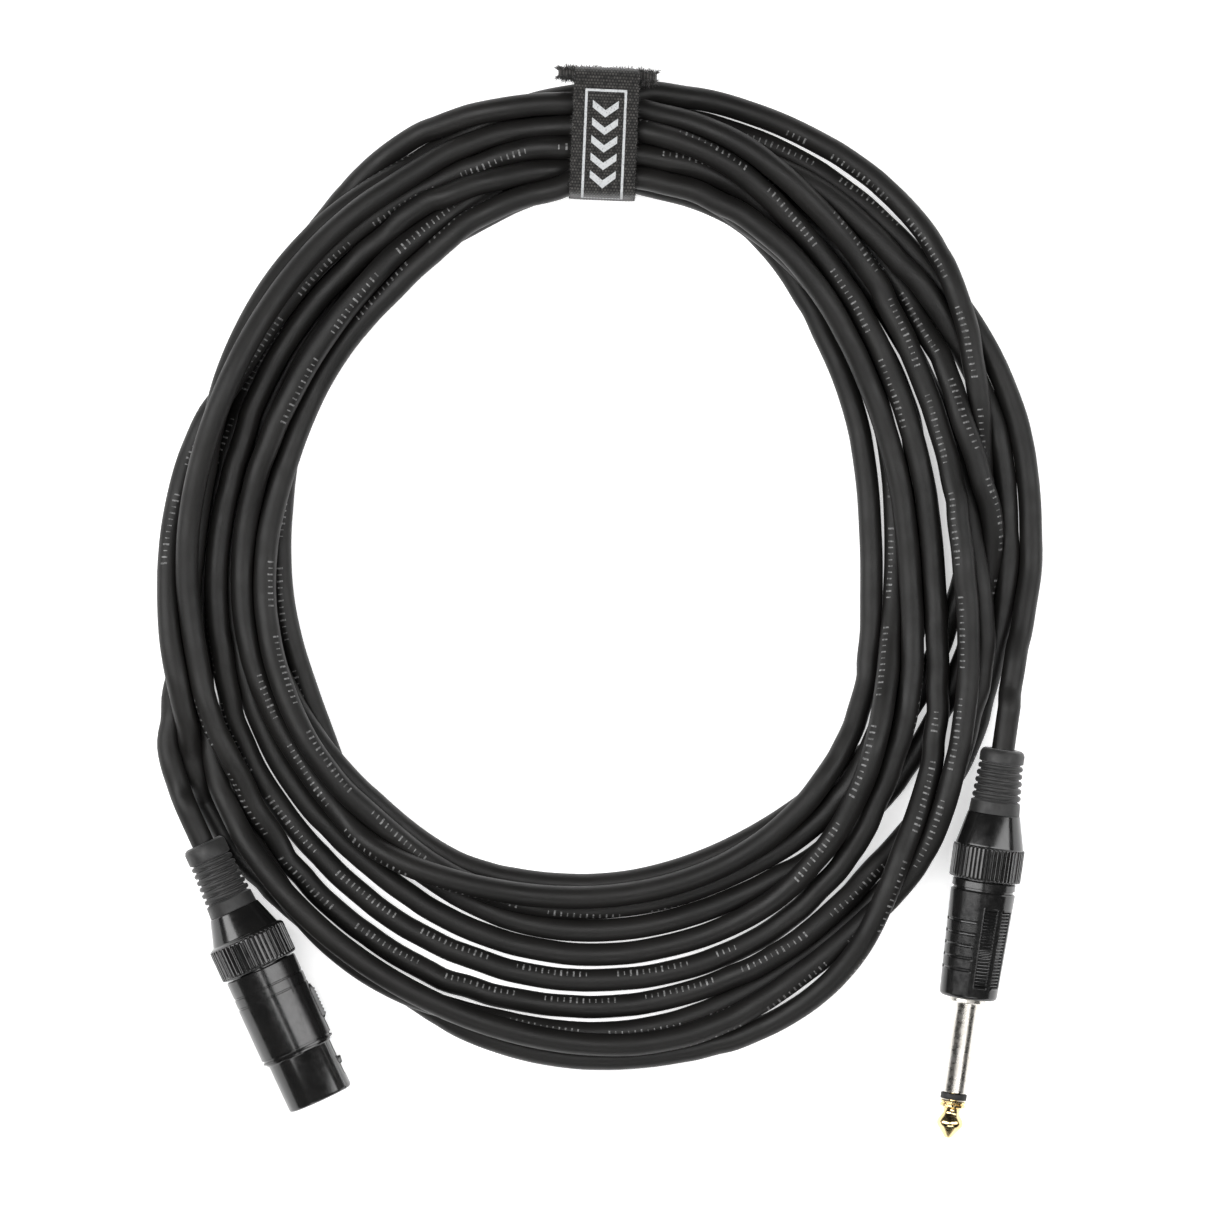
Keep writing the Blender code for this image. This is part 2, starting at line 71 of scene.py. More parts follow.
# Settling: how much turns side by side draw together, how firmly the plan holds them early and late,
# stiffness, the drop of each step in mm, and the number of steps.
CLING = 0.03
HOLD_EARLY, HOLD_LATE = 0.15, 0.06
STIFFNESS = 0.055
DROP = 0.05
STEPS, QUICK_STEPS = 300, 60
XLR_CLAMPED = (38.5, 78.0)
JACK_CLAMPED = (105.0, 67.0)

# Each turn: its radius at every station, and the layer it lies in there. The first and last are part turns.
TURNS = (
    (
        "108 100 97 96 97 100 105 106",
        "00122221",
    ),
    (
        "111 114 116 115 107 99 93 87 82 79 78 78 79 79 79 78 77 77 77 79 81 83 84 88",
        "122220000000000110000110",
    ),
    (
        "92 92 88 80 74 69 68 70 74 78 80 81 81 82 83 84 84 83 81 81 81 83 86 89",
        "000000000011122211111221",
    ),
    (
        "100 103 105 104 104 102 101 101 104 104 105 107 108 107 105 102 100 98 96 95 96 98 101 103",
        "111111000011111122222222",
    ),
    (
        "104 102 97 90 84 83 83 88 96 105 118 122 121 115 112 109 106 101 99 97 96 96 97 98",
        "232211112221000011011111",
    ),
    (
        "98 96 93 88 85 83 80 81 82 83 84 84 84 84 83 81 79 78 78 76 77 79 83 88",
        "221000011000011111111101",
    ),
    (
        "93 92 88 83 79 77 77 80 86 95 100 101 101 99 97 95 94 91 89 88 88 90 92 93",
        "222211222210000111111112",
    ),
    (
        "94 93 89 84 81 77 74 75 81 87 90 94 94 92 91 89 88 86 85 84 84 86 89 94",
        "211100022211111100000000",
    ),
    (
        "102 102 103 101 100 98 96 94 93 92 89 88 88 86 82 78 76 75 75 78 79 82 87 93",
        "000001100000000000000000",
    ),
    (
        "97 98 96 94 93 94 95 98 102 105 108 112 114 114 112 108 106 99 96 94 96 102 106 110",
        "000001211100011100000112",
    ),
    (
        "109 108 103 97 92 90 91 95 102 108 111 116 116 113 110 107 103 97 93 90 92 94 96 102",
        "232222222111122210000000",
    ),
    (
        "108 109 108 108 108 107 106 108",
        "00000000",
    ),
)

# Tie, in mm, in its own plane: outward from the coil's middle, and up.
TIE_ANGLE = 2.5
TIE_INSIDE, TIE_OUTSIDE = 88.6, 114.9
TIE_CEILING = 16.3
TIE_LIFT = 1.55
TIE_WIDTH = 15.4
HEAD_WIDTH = 23.2

# Woven strap and its print, in mm: the print's span along the tail and half its width.
WEAVE_PITCH = 0.72
PRINT_SPAN = (11.8, 40.6)
PRINT_HALF = 5.0
CHEVRON_PITCH = 4.2

# Marks along the jacket, in mm: their pitch, how many make up a group with its gap, and the print's repeat.
MARK_PITCH = 1.55
MARKS_IN_GROUP = 16.0
PRINT_REPEAT = 310.0

# Camera and stage, in metres.
VIEW_MIDDLE = (0.00204, -0.00072)
VIEW_SIDE = 0.2914
VIEW_HEIGHT = 2.5
FOCUS_HEIGHT = 0.008


# ---------------------------------------------------------------- frames

def connector(joint_name, front_node):
    """A connector's own axes in mm: x to the right, y down, z from the mating end towards the cable."""
    joint = next(j for j in frame["joints"] if j["name"] == joint_name)
    rear, pivot = Vector(joint["axis"]).normalized(), Vector(joint["pos_m"])
    front = min((v.co - pivot).dot(rear) for v in NODES[front_node].data.vertices)
    right = Vector((0, 0, -1)).cross(rear).normalized()
    axes = Matrix((right, rear.cross(right), rear)).transposed().to_4x4()
    return Matrix.Translation(pivot + rear * front) @ axes @ Matrix.Scale(MM, 4)


def on_axis(matrix, s):
    """The point at s on a connector's axis, in mm in the row frame."""
    return np.array(matrix @ Vector((0, 0, s))) / MM


XLR = connector("xlr_nut_turn", "xlr_shell")
JACK = connector("jack_nut_turn", "jack_tip")

# What the turns keep off: each nut and boot, wherever they slide. Span on the axis and radius, in mm.
CONNECTOR_ROOM = (
    (XLR, (42.0, 50.0), 9.7),
    (XLR, (45.0, 75.0), 6.4),
    (JACK, (63.0, 78.0), 8.8),
    (JACK, (66.0, 102.0), 6.5),
)


# ---------------------------------------------------------------- cable

def tie_share(angle):
    """How fully the tie lifts the bundle at an angle, from 0 to 1."""
    away = np.abs((angle - TIE_ANGLE + 180) % 360 - 180)
    return np.where(away < 6, 1.0, np.where(away < 24, 0.5 + 0.5 * np.cos(np.pi * (away - 6) / 18), 0.0))


def spread(points, gap):
    """The polyline with its points evenly spaced about gap apart."""
    along = np.concatenate([[0], np.cumsum(np.linalg.norm(np.diff(points, axis=0), axis=1))])
    even = np.linspace(0, along[-1], int(round(along[-1] / gap)) + 1)
    return np.stack([np.interp(even, along, points[:, k]) for k in range(3)], axis=1)


def catmull(values, at):
    """A smooth curve through values, read at fractional positions."""
    last = len(values) - 1
    k = np.clip(at.astype(int), 0, last - 1)
    t = (at - k).reshape([-1] + [1] * (values.ndim - 1))
    a, b, c, d = (values[np.clip(k + step, 0, last)] for step in (-1, 0, 1, 2))
    return 0.5 * (2 * b + (c - a) * t + (2 * a - 5 * b + 4 * c - d) * t**2 + (3 * b - a - 3 * c + d) * t**3)


def planned_turns():
    """The coil's turns as planned, before they settle on each other."""
    radii = np.array([float(r) for radius_row, _ in TURNS for r in radius_row.split()])
    layers = np.array([float(digit) for _, row in TURNS for digit in row])
    at = np.arange(0, len(radii) - 1, 1 / 30)
    angle = FIRST_ANGLE + STATION * at
    radius, layer = catmull(radii, at), np.interp(at, np.arange(len(layers)), layers)
    turn = np.radians(angle)
    x = COIL_MIDDLE[0] + radius * np.sin(turn)
    y = COIL_MIDDLE[1] + radius * np.cos(turn)
    points = np.stack([x, y, CABLE_R + LAYER * layer + TIE_LIFT * tie_share(angle)], axis=1)
    last = angle[-1] - LAST_LEFT_OFF
    return points[(angle >= SETTLED_FROM) & (angle <= last)]


def bridge(start, start_way, end, end_way):
    """A smooth lead from one point and heading to another."""
    reach = np.linalg.norm(end - start)
    u = np.linspace(0, 1, 20)[1:-1, None]
    blend = (2 * u**3 - 3 * u**2 + 1) * start + (u**3 - 2 * u**2 + u) * start_way * reach
    return blend + (3 * u**2 - 2 * u**3) * end + (u**3 - u**2) * end_way * reach


def heading(points):
    way = points[-1] - points[0]
    return way / np.linalg.norm(way)


def planned_route():
    """From the socket's clamp, through every turn, to the plug's clamp."""
    coil = planned_turns()
    first = np.array([on_axis(XLR, s) for s in np.arange(*XLR_CLAMPED, 2.0)])
    last = np.array([on_axis(JACK, s) for s in np.arange(*JACK_CLAMPED, -2.0)])
    lead_in = bridge(first[-1], heading(first), coil[0], heading(coil[:4]))
    lead_out = bridge(coil[-1], heading(coil[-4:]), last[0], heading(last))
    return spread(np.concatenate([first, lead_in, coil, lead_out, last]), POINT_GAP)


def near_pairs(points, reach=10.0, skip=12):
    """Index pairs of points close to each other on different stretches."""
    flat = points.astype(np.float32)
    found = []
    for start in range(0, len(flat), 400):
        gap = ((flat[start:start + 400, None] - flat[None]) ** 2).sum(axis=2)
        i, j = np.nonzero(gap < reach * reach)
        found.append(np.stack([i + start, j])[:, j > i + start + skip])
    return np.concatenate(found, axis=1)


def push_apart(points, pairs):
    """Moves stretches that lie in each other apart, and draws those side by side a little together."""
    first, second = pairs
    way = np.gradient(points, axis=0)
    way /= np.linalg.norm(way, axis=1, keepdims=True)
    between = points[second] - points[first]
    along = (between * way[first]).sum(axis=1)
    across = between - along[:, None] * way[first]
    apart = np.linalg.norm(across, axis=1) + 1e-6
    room = CABLE_D + 0.05
    touching = (np.abs(along) < 0.75 * POINT_GAP) & (apart < room)
    push = (np.where(touching, (room - apart) / 2, 0) / apart)[:, None] * across
    beside = (np.abs(along) < 0.75 * POINT_GAP) & (apart > CABLE_D + 0.3) & (apart < CABLE_D + 3.2)
    beside &= np.abs(across[:, 2]) < 3.5
    push -= (np.where(beside, CLING * (apart - CABLE_D), 0) / apart)[:, None] * across
    total, count = np.zeros_like(points), np.zeros(len(points))
    for index, move in ((first, -push), (second, push)):
        np.add.at(total, index, move)
        np.add.at(count, index, touching)
    points += 0.9 * total / np.maximum(0.6 * count, 1)[:, None]


def keep_off(points, matrix, span, radius):
    """Keeps points outside a round body on a connector's axis."""
    start, end = on_axis(matrix, span[0]), on_axis(matrix, span[1])
    way = (end - start) / np.linalg.norm(end - start)
    s = np.clip((points - start) @ way, 0, np.linalg.norm(end - start))
    out = points - start - s[:, None] * way
    apart = np.linalg.norm(out, axis=1, keepdims=True) + 1e-9
    points += out / apart * np.clip(radius + CABLE_R - apart, 0, None)


def hold_in_tie(points):
    """Keeps the bundle on the floor or the tie, and inside the tie's band."""
    rel = points[:, :2] - COIL_MIDDLE
    angle = np.degrees(np.arctan2(rel[:, 0], rel[:, 1]))
    points[:, 2] = np.maximum(points[:, 2], CABLE_R + TIE_LIFT * tie_share(angle))
    turn = math.radians(TIE_ANGLE)
    outward, across = np.array((math.sin(turn), math.cos(turn))), np.array((math.cos(turn), -math.sin(turn)))
    u = rel @ outward
    inside = (np.abs(rel @ across) < TIE_WIDTH / 2 + 1.3) & (u > 0)
    held = np.clip(u, TIE_INSIDE + CABLE_R + 0.3, TIE_OUTSIDE - CABLE_R - 0.3)
    points[:, :2] += np.where(inside, held - u, 0)[:, None] * outward
    points[inside, 2] = np.minimum(points[inside, 2], TIE_CEILING - CABLE_R)


def stiffen(points, stride, amount):
    """Evens out the bend over a stride of points."""
    bend = np.zeros_like(points)
    bend[stride:-stride] = points[:-2 * stride] - 2 * points[stride:-stride] + points[2 * stride:]
    change = np.zeros_like(points)
    change[stride:-stride] = bend[:-2 * stride] - 2 * bend[stride:-stride] + bend[2 * stride:]
    change[:2 * stride] = 0
    change[-2 * stride:] = 0
    points -= amount * change


def settle(plan, steps):
    """Lets the planned turns fall on each other: gravity, stiffness, contact, floor, tie and connectors."""
    points = plan.copy()
    first = int((XLR_CLAMPED[1] - XLR_CLAMPED[0]) / POINT_GAP) + 1
    last = int((JACK_CLAMPED[0] - JACK_CLAMPED[1]) / POINT_GAP) + 1
    place = np.arange(len(plan))
    fixed = (place < first) | (place >= len(plan) - last)
    beside_clamp = (place < first + 6) | (place >= len(plan) - last - 6)
    for step in range(steps):
        if step % 12 == 0:
            pairs = near_pairs(points)
        points[:, 2] -= DROP
        hold = HOLD_EARLY if step < 0.8 * steps else HOLD_LATE
        points[:, :2] += hold * (plan[:, :2] - points[:, :2])
        for stride in (1, 4):
            stiffen(points, stride, STIFFNESS)
        for _ in range(2):
            push_apart(points, pairs)
            moved = points.copy()
            for body in CONNECTOR_ROOM:
                keep_off(moved, *body)
            points = np.where(beside_clamp[:, None], points, moved)
            hold_in_tie(points)
        points[fixed] = plan[fixed]
    return points


def ring_frames(points):
    """Directions along, up and sideways at each point, without twist against the vertical."""
    along = np.gradient(points, axis=0)
    along /= np.linalg.norm(along, axis=1, keepdims=True)
    side = np.cross(along, (0.0, 0.0, 1.0))
    side /= np.linalg.norm(side, axis=1, keepdims=True)
    return along, np.cross(side, along), side


def make_cable():
    """The whole jacket as one tube along its settled route."""
    plan = planned_route()
    settled = settle(plan, STEPS)
    at = np.arange(0, len(settled) - 1 + 1e-6, RING_GAP / POINT_GAP)
    line = catmull(settled, at)
    along = np.concatenate([[0], np.cumsum(np.linalg.norm(np.diff(line, axis=0), axis=1))])
    _, up, side = ring_frames(line)
    sides = RING_SIDES
    turn = 2 * np.pi * np.arange(sides) / sides
    rings = line[:, None] + CABLE_R * (
        np.sin(turn)[None, :, None] * side[:, None] + np.cos(turn)[None, :, None] * up[:, None]
    )
    count = len(line)
    verts = rings.reshape(-1, 3) * MM
    quads = [
        (a * sides + b, a * sides + (b + 1) % sides, (a + 1) * sides + (b + 1) % sides, (a + 1) * sides + b)
        for a in range(count - 1)
        for b in range(sides)
    ]
    caps = [tuple(range(sides))[::-1], tuple((count - 1) * sides + b for b in range(sides))]
    mesh = bpy.data.meshes.new("cable_jacket")
    mesh.from_pydata([tuple(v) for v in verts], [], quads + caps)
    layer = mesh.uv_layers.new(name="UVMap")
    corner_uv = []
    for a in range(count - 1):
        for b in range(sides):
            low, high = b / sides, (b + 1) / sides
            corner_uv += [along[a], low, along[a], high, along[a + 1], high, along[a + 1], low]
    corner_uv += [0.0, 0.0] * (2 * sides)
    layer.data.foreach_set("uv", corner_uv)
    mesh.shade_smooth()
    cable = bpy.data.objects.new("cable_jacket", mesh)
    bpy.context.collection.objects.link(cable)
    return cable, line * MM, along[-1] * MM


# ---------------------------------------------------------------- materials

class Finish:
    """A Principled material with small helpers for its nodes."""

    def __init__(self, name, **sockets):
        self.material = bpy.data.materials.new(name)
        self.material.use_nodes = True
        self.tree = self.material.node_tree
        self.shader = self.tree.nodes["Principled BSDF"]
        for socket, value in sockets.items():
            self.shader.inputs[socket.replace("_", " ")].default_value = value

    def put(self, target, value):
        if isinstance(value, bpy.types.NodeSocket):
            self.tree.links.new(value, target)
        else:
            target.default_value = value

    def node(self, kind, inputs=(), output=0, **settings):
        made = self.tree.nodes.new(kind)
        for name, value in settings.items():
            setattr(made, name, value)
        for key, value in dict(inputs).items():
            self.put(made.inputs[key], value)
        return made.outputs[output]

    def math(self, operation, *values):
        return self.node("ShaderNodeMath", dict(enumerate(values)), operation=operation)

    def position(self):
        return self.node("ShaderNodeTexCoord", output="Object")

    def uv(self):
        """Distance along and share round a cord, or place along and across a strap."""
        split = self.node("ShaderNodeSeparateXYZ", {0: self.node("ShaderNodeUVMap", uv_map="UVMap")}).node
        return split.outputs[0], split.outputs[1]

    def noise(self, size, detail=2.0, stretch=(1, 1, 1)):
        """Noise with features about size metres across."""
        place = self.node("ShaderNodeMapping", {"Vector": self.position(), "Scale": stretch})
        return self.node("ShaderNodeTexNoise", {"Vector": place, "Scale": 1 / size, "Detail": detail})

    def between(self, value, low, high, out_low=0.0, out_high=1.0):
        keys = ("Value", "From Min", "From Max", "To Min", "To Max")
        return self.node("ShaderNodeMapRange", dict(zip(keys, (value, low, high, out_low, out_high))))

    def mixed(self, share, first, second):
        node = self.tree.nodes.new("ShaderNodeMix")
        node.data_type = "RGBA"
        self.put(node.inputs[0], share)
        self.put(node.inputs[6], first)
        self.put(node.inputs[7], second)
        return node.outputs[2]

    def set(self, socket, value):
        self.put(self.shader.inputs[socket], value)

    def bump(self, height, depth):
        """Relief of depth metres."""
        self.set("Normal", self.node("ShaderNodeBump", {"Height": height, "Distance": depth}))


def grey(level, warmth=0.0):
    return (level * (1 + warmth), level, level * (1 - warmth), 1.0)


def jacket_finish():
    """Matt black PVC with a faint pebble, dull wear, and groups of pale marks along one wandering side."""
    f = Finish("cable_jacket", Roughness=0.5, Specular_IOR_Level=0.26)
    along, around = f.uv()
    drift = f.noise(0.02, 3.0)
    base = f.mixed(f.between(drift, 0.35, 0.65), grey(0.006, 0.05), grey(0.0095, 0.06))
    pitch = f.math("DIVIDE", along, MARK_PITCH)
    cell, place = f.math("FLOOR", pitch), f.math("FRACT", pitch)
    word = f.math("FRACT", f.math("DIVIDE", cell, MARKS_IN_GROUP))
    drawn = f.math("LESS_THAN", word, 0.72)
    chance = f.node("ShaderNodeTexWhiteNoise", {"W": cell}, noise_dimensions="1D")
    half = f.between(chance, 0, 1, 0.07, 0.15)
    bar = f.math("LESS_THAN", f.math("ABSOLUTE", f.math("SUBTRACT", place, 0.4)), half)
    roll = f.math("ADD", 0.17, f.math("MULTIPLY", 0.27, f.math("SINE", f.math("DIVIDE", along, 71.0))))
    off_line = f.math("ABSOLUTE", f.math("SUBTRACT", f.math("ADD", around, roll), 0.5))
    off_top = f.math("SUBTRACT", 0.5, off_line)
    height = f.between(chance, 0, 1, 0.03, 0.05)
    inside = f.math("LESS_THAN", f.math("ABSOLUTE", off_top), height)
    stretch = f.math("LESS_THAN", f.math("FRACT", f.math("DIVIDE", along, PRINT_REPEAT)), 0.8)
    worn = f.between(f.noise(0.0006, 2.0), 0.42, 0.6, 0.25, 0.85)
    ink = worn
    for share in (bar, inside, drawn, stretch):
        ink = f.math("MULTIPLY", ink, share)
    f.set("Base Color", f.mixed(ink, base, grey(0.24)))
    f.set("Roughness", f.between(f.noise(0.006, 4.0), 0.3, 0.7, 0.42, 0.56))
    f.bump(f.noise(0.0005, 3.0), 0.00004)
    return f.material


def gloss_finish(name, level, low, high):
    """Painted or plated black metal and moulded plastic: fine grain, soft scuffs in the gloss."""
    f = Finish(name, Specular_IOR_Level=0.5, Coat_Weight=0.12, Coat_Roughness=0.12)
    tone = f.between(f.noise(0.004, 3.0), 0.3, 0.7)
    f.set("Base Color", f.mixed(tone, grey(level), grey(level * 1.5, 0.02)))
    f.set("Roughness", f.between(f.noise(0.0016, 4.0, stretch=(1, 1, 3)), 0.3, 0.7, low, high))
    f.bump(f.noise(0.0003, 2.0), 0.000003)
    return f.material


def rubber_finish():
    f = Finish("boot_rubber", Specular_IOR_Level=0.4, Sheen_Weight=0.15, Sheen_Roughness=0.5)
    f.set("Base Color", f.mixed(f.between(f.noise(0.003, 3.0), 0.3, 0.7), grey(0.008), grey(0.015, 0.03)))
    f.set("Roughness", f.between(f.noise(0.002, 3.0), 0.3, 0.7, 0.42, 0.6))
    f.bump(f.noise(0.00035, 3.0), 0.00003)
    return f.material


def metal_finish(name, bright, dark, low, high):
    """Plated metal with turning marks round it and dull patches where it is handled."""
    f = Finish(name, Metallic=1.0)
    f.set("Base Color", f.mixed(f.between(f.noise(0.003, 3.0), 0.3, 0.7), bright, dark))
    f.set("Roughness", f.between(f.noise(0.0012, 4.0), 0.3, 0.7, low, high))
    f.bump(f.noise(0.00008, 1.0, stretch=(0.2, 3, 0.2)), 0.000004)
    return f.material


def dull_finish(name, first, second, roughness):
    """Moulded plastic, wire insulation and bare copper inside the connectors."""
    f = Finish(name, Specular_IOR_Level=0.45)
    f.set("Base Color", f.mixed(f.between(f.noise(0.002, 3.0), 0.35, 0.65), first, second))
    f.set("Roughness", f.between(f.noise(0.001, 3.0), 0.3, 0.7, roughness - 0.08, roughness + 0.08))
    f.bump(f.noise(0.0004, 2.0), 0.00002)
    return f.material


def weave(f, along, across, pitch):
    """Ribbed webbing: raised picks in rows, half a pitch out in every other row."""
    row = f.math("DIVIDE", along, pitch)
    shift = f.math("MULTIPLY", 0.5, f.math("MODULO", f.math("FLOOR", row), 2.0))
    column = f.math("ADD", f.math("DIVIDE", across, pitch), shift)
    hill = [
        f.math("SINE", f.math("MULTIPLY", math.pi, f.math("FRACT", value)))
        for value in (row, column)
    ]
    return f.math("MULTIPLY", hill[0], hill[1])


def inked(f, along, across):
    """A printed frame round a row of plain chevrons, as a share of ink."""
    def inside(value, low, high):
        middle, half = (low + high) / 2, (high - low) / 2
        return f.math("LESS_THAN", f.math("ABSOLUTE", f.math("SUBTRACT", value, middle)), half)

    def box(low, high, half):
        return f.math("MULTIPLY", inside(along, low, high), inside(across, -half, half))

    line = 0.6
    hollow = box(PRINT_SPAN[0] + line, PRINT_SPAN[1] - line, PRINT_HALF - line)
    border = f.math("SUBTRACT", box(*PRINT_SPAN, PRINT_HALF), hollow)
    point = f.math("ADD", along, f.math("MULTIPLY", 0.75, f.math("ABSOLUTE", across)))
    stripe = inside(f.math("FRACT", f.math("DIVIDE", point, CHEVRON_PITCH)), 0.0, 0.42)
    middle = (PRINT_SPAN[0] + PRINT_SPAN[1]) / 2
    whole = inside(point, middle - 10.2, middle + 11.3)
    chevrons = f.math("MULTIPLY", f.math("MULTIPLY", stripe, whole), inside(across, -3.1, 3.1))
    ink = f.math("MAXIMUM", border, chevrons)
    return f.math("MULTIPLY", ink, f.between(f.noise(0.0004, 2.0), 0.3, 0.45, 0.55, 1.0))


def strap_finish(printed):
    """Woven black webbing, with or without the pale print. Its colour carries a painted highlight on the
    raised picks and painted shade between them.
    """
    name = "tie_webbing_printed" if printed else "tie_webbing"
    f = Finish(name, Specular_IOR_Level=0.25, Sheen_Weight=0.25)
    along, across = f.uv()
    cloth = weave(f, along, across, WEAVE_PITCH)
    # Painted light: the raised picks get a lighter colour as a painted highlight, and the hollows between
    # them go near black as painted shade. The noise adds uneven fibre tone.
    tone = f.math("MULTIPLY", cloth, f.between(f.noise(0.0011, 4.0), 0.35, 0.65, 0.1, 1.0))
    colour = f.mixed(tone, grey(0.004), grey(0.075, 0.06))
    if printed:
        colour = f.mixed(inked(f, along, across), colour, grey(0.5, -0.02))
    f.set("Base Color", colour)
    f.set("Roughness", f.between(cloth, 0, 1, 0.9, 0.7))
    f.bump(cloth, 0.00012)
    return f.material


def pile_finish():
    """The fuzz of loops and loose fibres."""
    f = Finish("tie_pile", Specular_IOR_Level=0.3, Sheen_Weight=0.3)
    f.set("Base Color", f.mixed(f.between(f.noise(0.0008, 2.0), 0.35, 0.65), grey(0.008), grey(0.05, 0.05)))
    f.set("Roughness", f.between(f.noise(0.001, 2.0), 0.3, 0.7, 0.7, 0.95))
    return f.material


FINISHES = {
    "cable_jacket": jacket_finish(),
    "black_shell": gloss_finish("black_shell", 0.007, 0.14, 0.24),
    "black_nut": gloss_finish("black_nut", 0.006, 0.13, 0.22),
    "boot_rubber": rubber_finish(),
    "insert_plastic": dull_finish("insert_plastic", grey(0.004), grey(0.007), 0.55),
    "clamp_plastic": dull_finish("clamp_plastic", grey(0.30), grey(0.38), 0.45),
    "nickel": metal_finish("nickel", (0.72, 0.70, 0.66, 1), (0.60, 0.57, 0.52, 1), 0.22, 0.34),
    "gold": metal_finish("gold", (0.90, 0.74, 0.42, 1), (0.72, 0.55, 0.27, 1), 0.12, 0.24),
    "spring_steel": metal_finish("spring_steel", (0.55, 0.54, 0.52, 1), (0.40, 0.39, 0.38, 1), 0.2, 0.35),
    "core_red": dull_finish("core_red", (0.40, 0.02, 0.02, 1), (0.52, 0.04, 0.03, 1), 0.4),
    "core_white": dull_finish("core_white", grey(0.62), grey(0.72), 0.4),
    "copper": metal_finish("copper", (0.85, 0.42, 0.26, 1), (0.66, 0.29, 0.17, 1), 0.22, 0.38),
    "tie_fabric": strap_finish(False),
    "tie_printed": strap_finish(True),
    "tie_pile": pile_finish(),
}


# ---------------------------------------------------------------- mesh helpers

def piece(name, mesh, finish, body, replaced=()):
    """A finished piece of the object, in place, riding on its body."""
    mesh.name = name
    mesh.materials.clear()
    mesh.materials.append(FINISHES[finish])
    mesh.shade_smooth()
    mesh.set_sharp_from_angle(angle=math.radians(SHARP_ANGLE))
    made = bpy.data.objects.new(name, mesh)
    bpy.context.collection.objects.link(made)
    if body:
        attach(made, body)
    if replaced:
        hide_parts(*replaced)
    return made


def raw_mesh(name, verts, faces):
    mesh = bpy.data.meshes.new(name)
    mesh.from_pydata([tuple(v) for v in verts], [], faces)
    mesh.update()
    return mesh


def softened(profile, fillet):
    """The closed profile with its corners rounded."""
    count, done = len(profile), []
    for i, corner in enumerate(profile):
        corner = np.array(corner, float)
        if corner[0] < 1e-6:
            done.append(tuple(corner))
            continue
        ends = [np.array(profile[(i + step) % count], float) for step in (-1, 1)]
        cuts = []
        for end in ends:
            length = np.linalg.norm(end - corner)
            cuts.append(corner + (end - corner) * min(fillet, 0.4 * length) / length)
        for t in (0.0, 0.33, 0.67, 1.0):
            done.append(tuple((1 - t) ** 2 * cuts[0] + 2 * t * (1 - t) * corner + t * t * cuts[1]))
    return done


def finely(profile, span, step):
    """The closed profile with extra points on its outer edges inside a span of s."""
    done = []
    for (r0, s0), (r1, s1) in zip(profile, profile[1:] + profile[:1]):
        done.append((r0, s0))
        outer = min(r0, r1) > span[2] and abs(s1 - s0) > step
        if not outer or max(s0, s1) < span[0] or min(s0, s1) > span[1]:
            continue
        count = int(abs(s1 - s0) / step)
        done += [(r0 + (r1 - r0) * k / count, s0 + (s1 - s0) * k / count) for k in range(1, count)]
    return done


def lathe(matrix, profile, sides=96, relief=None):
    """A closed profile of (radius, s) turned round an axis. Angles run from the right over the top."""
    turn = 2 * np.pi * np.arange(sides) / sides
    radius = np.array([r for r, _ in profile])[:, None] * np.ones(sides)
    s = np.array([place for _, place in profile])[:, None] * np.ones(sides)
    if relief is not None:
        radius = radius + relief(np.degrees(turn)[None, :], s, radius)
    verts = np.stack([radius * np.cos(turn), -radius * np.sin(turn), s], axis=2).reshape(-1, 3)
    count = len(profile)
    faces = [
        (a * sides + b, a * sides + c, (a + 1) % count * sides + c, (a + 1) % count * sides + b)
        for a in range(count)
        for b, c in zip(range(sides), [*range(1, sides), 0])
    ]
    mesh = raw_mesh("turned", verts, faces)
    return closed(mesh, matrix)


def closed(mesh, matrix):
    """The mesh in place, with doubled points joined and its faces turned outwards."""
    work = bmesh.new()
    work.from_mesh(mesh)
    bmesh.ops.remove_doubles(work, verts=work.verts, dist=1e-4)
    bmesh.ops.dissolve_degenerate(work, edges=work.edges, dist=1e-5)
    bmesh.ops.recalc_face_normals(work, faces=work.faces)
    work.to_mesh(mesh)
    work.free()
    mesh.transform(matrix)
    return mesh


def slab(matrix, outline, low, high, bevel=0.2):
    """An outline of (x, s) points made solid from y = low to high, with its edges rounded."""
    count = len(outline)
    verts = [(x, y, s) for y in (low, high) for x, s in outline]
    faces = [tuple(range(count)), tuple(range(2 * count - 1, count - 1, -1))]
    faces += [(i, i + count, (i + 1) % count + count, (i + 1) % count) for i in range(count)]
    mesh = closed(raw_mesh("slab", verts, faces), Matrix.Identity(4))
    holder = bpy.data.objects.new("slab", mesh)
    bpy.context.collection.objects.link(holder)
    if bevel:
        edge = holder.modifiers.new("edge", "BEVEL")
        edge.width, edge.segments, edge.limit_method, edge.angle_limit = bevel, 2, "ANGLE", math.radians(40)
    return moved(holder, matrix)


def moved(holder, matrix):
    """The holder's evaluated mesh in place, and the holder removed."""
    bpy.context.view_layer.update()
    mesh = bpy.data.meshes.new_from_object(holder.evaluated_get(bpy.context.evaluated_depsgraph_get()))
    bpy.data.objects.remove(holder)
    mesh.transform(matrix)
    return mesh


def carved(mesh, cutters, operation="DIFFERENCE"):
    """The mesh with each cutter taken out of it, or joined to it."""
    holder = bpy.data.objects.new("carved", mesh)
    bpy.context.collection.objects.link(holder)
    tools = []
    for cutter in cutters:
        tool = bpy.data.objects.new("cutter", cutter)
        bpy.context.collection.objects.link(tool)
        step = holder.modifiers.new("cut", "BOOLEAN")
        step.object, step.operation, step.solver = tool, operation, "EXACT"
        tools.append(tool)
    done = moved(holder, Matrix.Identity(4))
    for tool in tools:
        bpy.data.objects.remove(tool)
    return done


def ridged(count, depth, span, ramp=0.35):
    """Straight knurling: V grooves between flat-topped ridges, fading at both ends of a span."""
    def relief(angle, s, radius):
        wave = np.abs((angle * count / 360) % 1 - 0.5) * 2
        groove = np.clip((wave - 0.45) / 0.4, 0, 1)
        ends = np.clip(np.minimum(s - span[0], span[1] - s) / ramp, 0, 1)
        return -depth * groove * ends * (radius > span[2])
    return relief


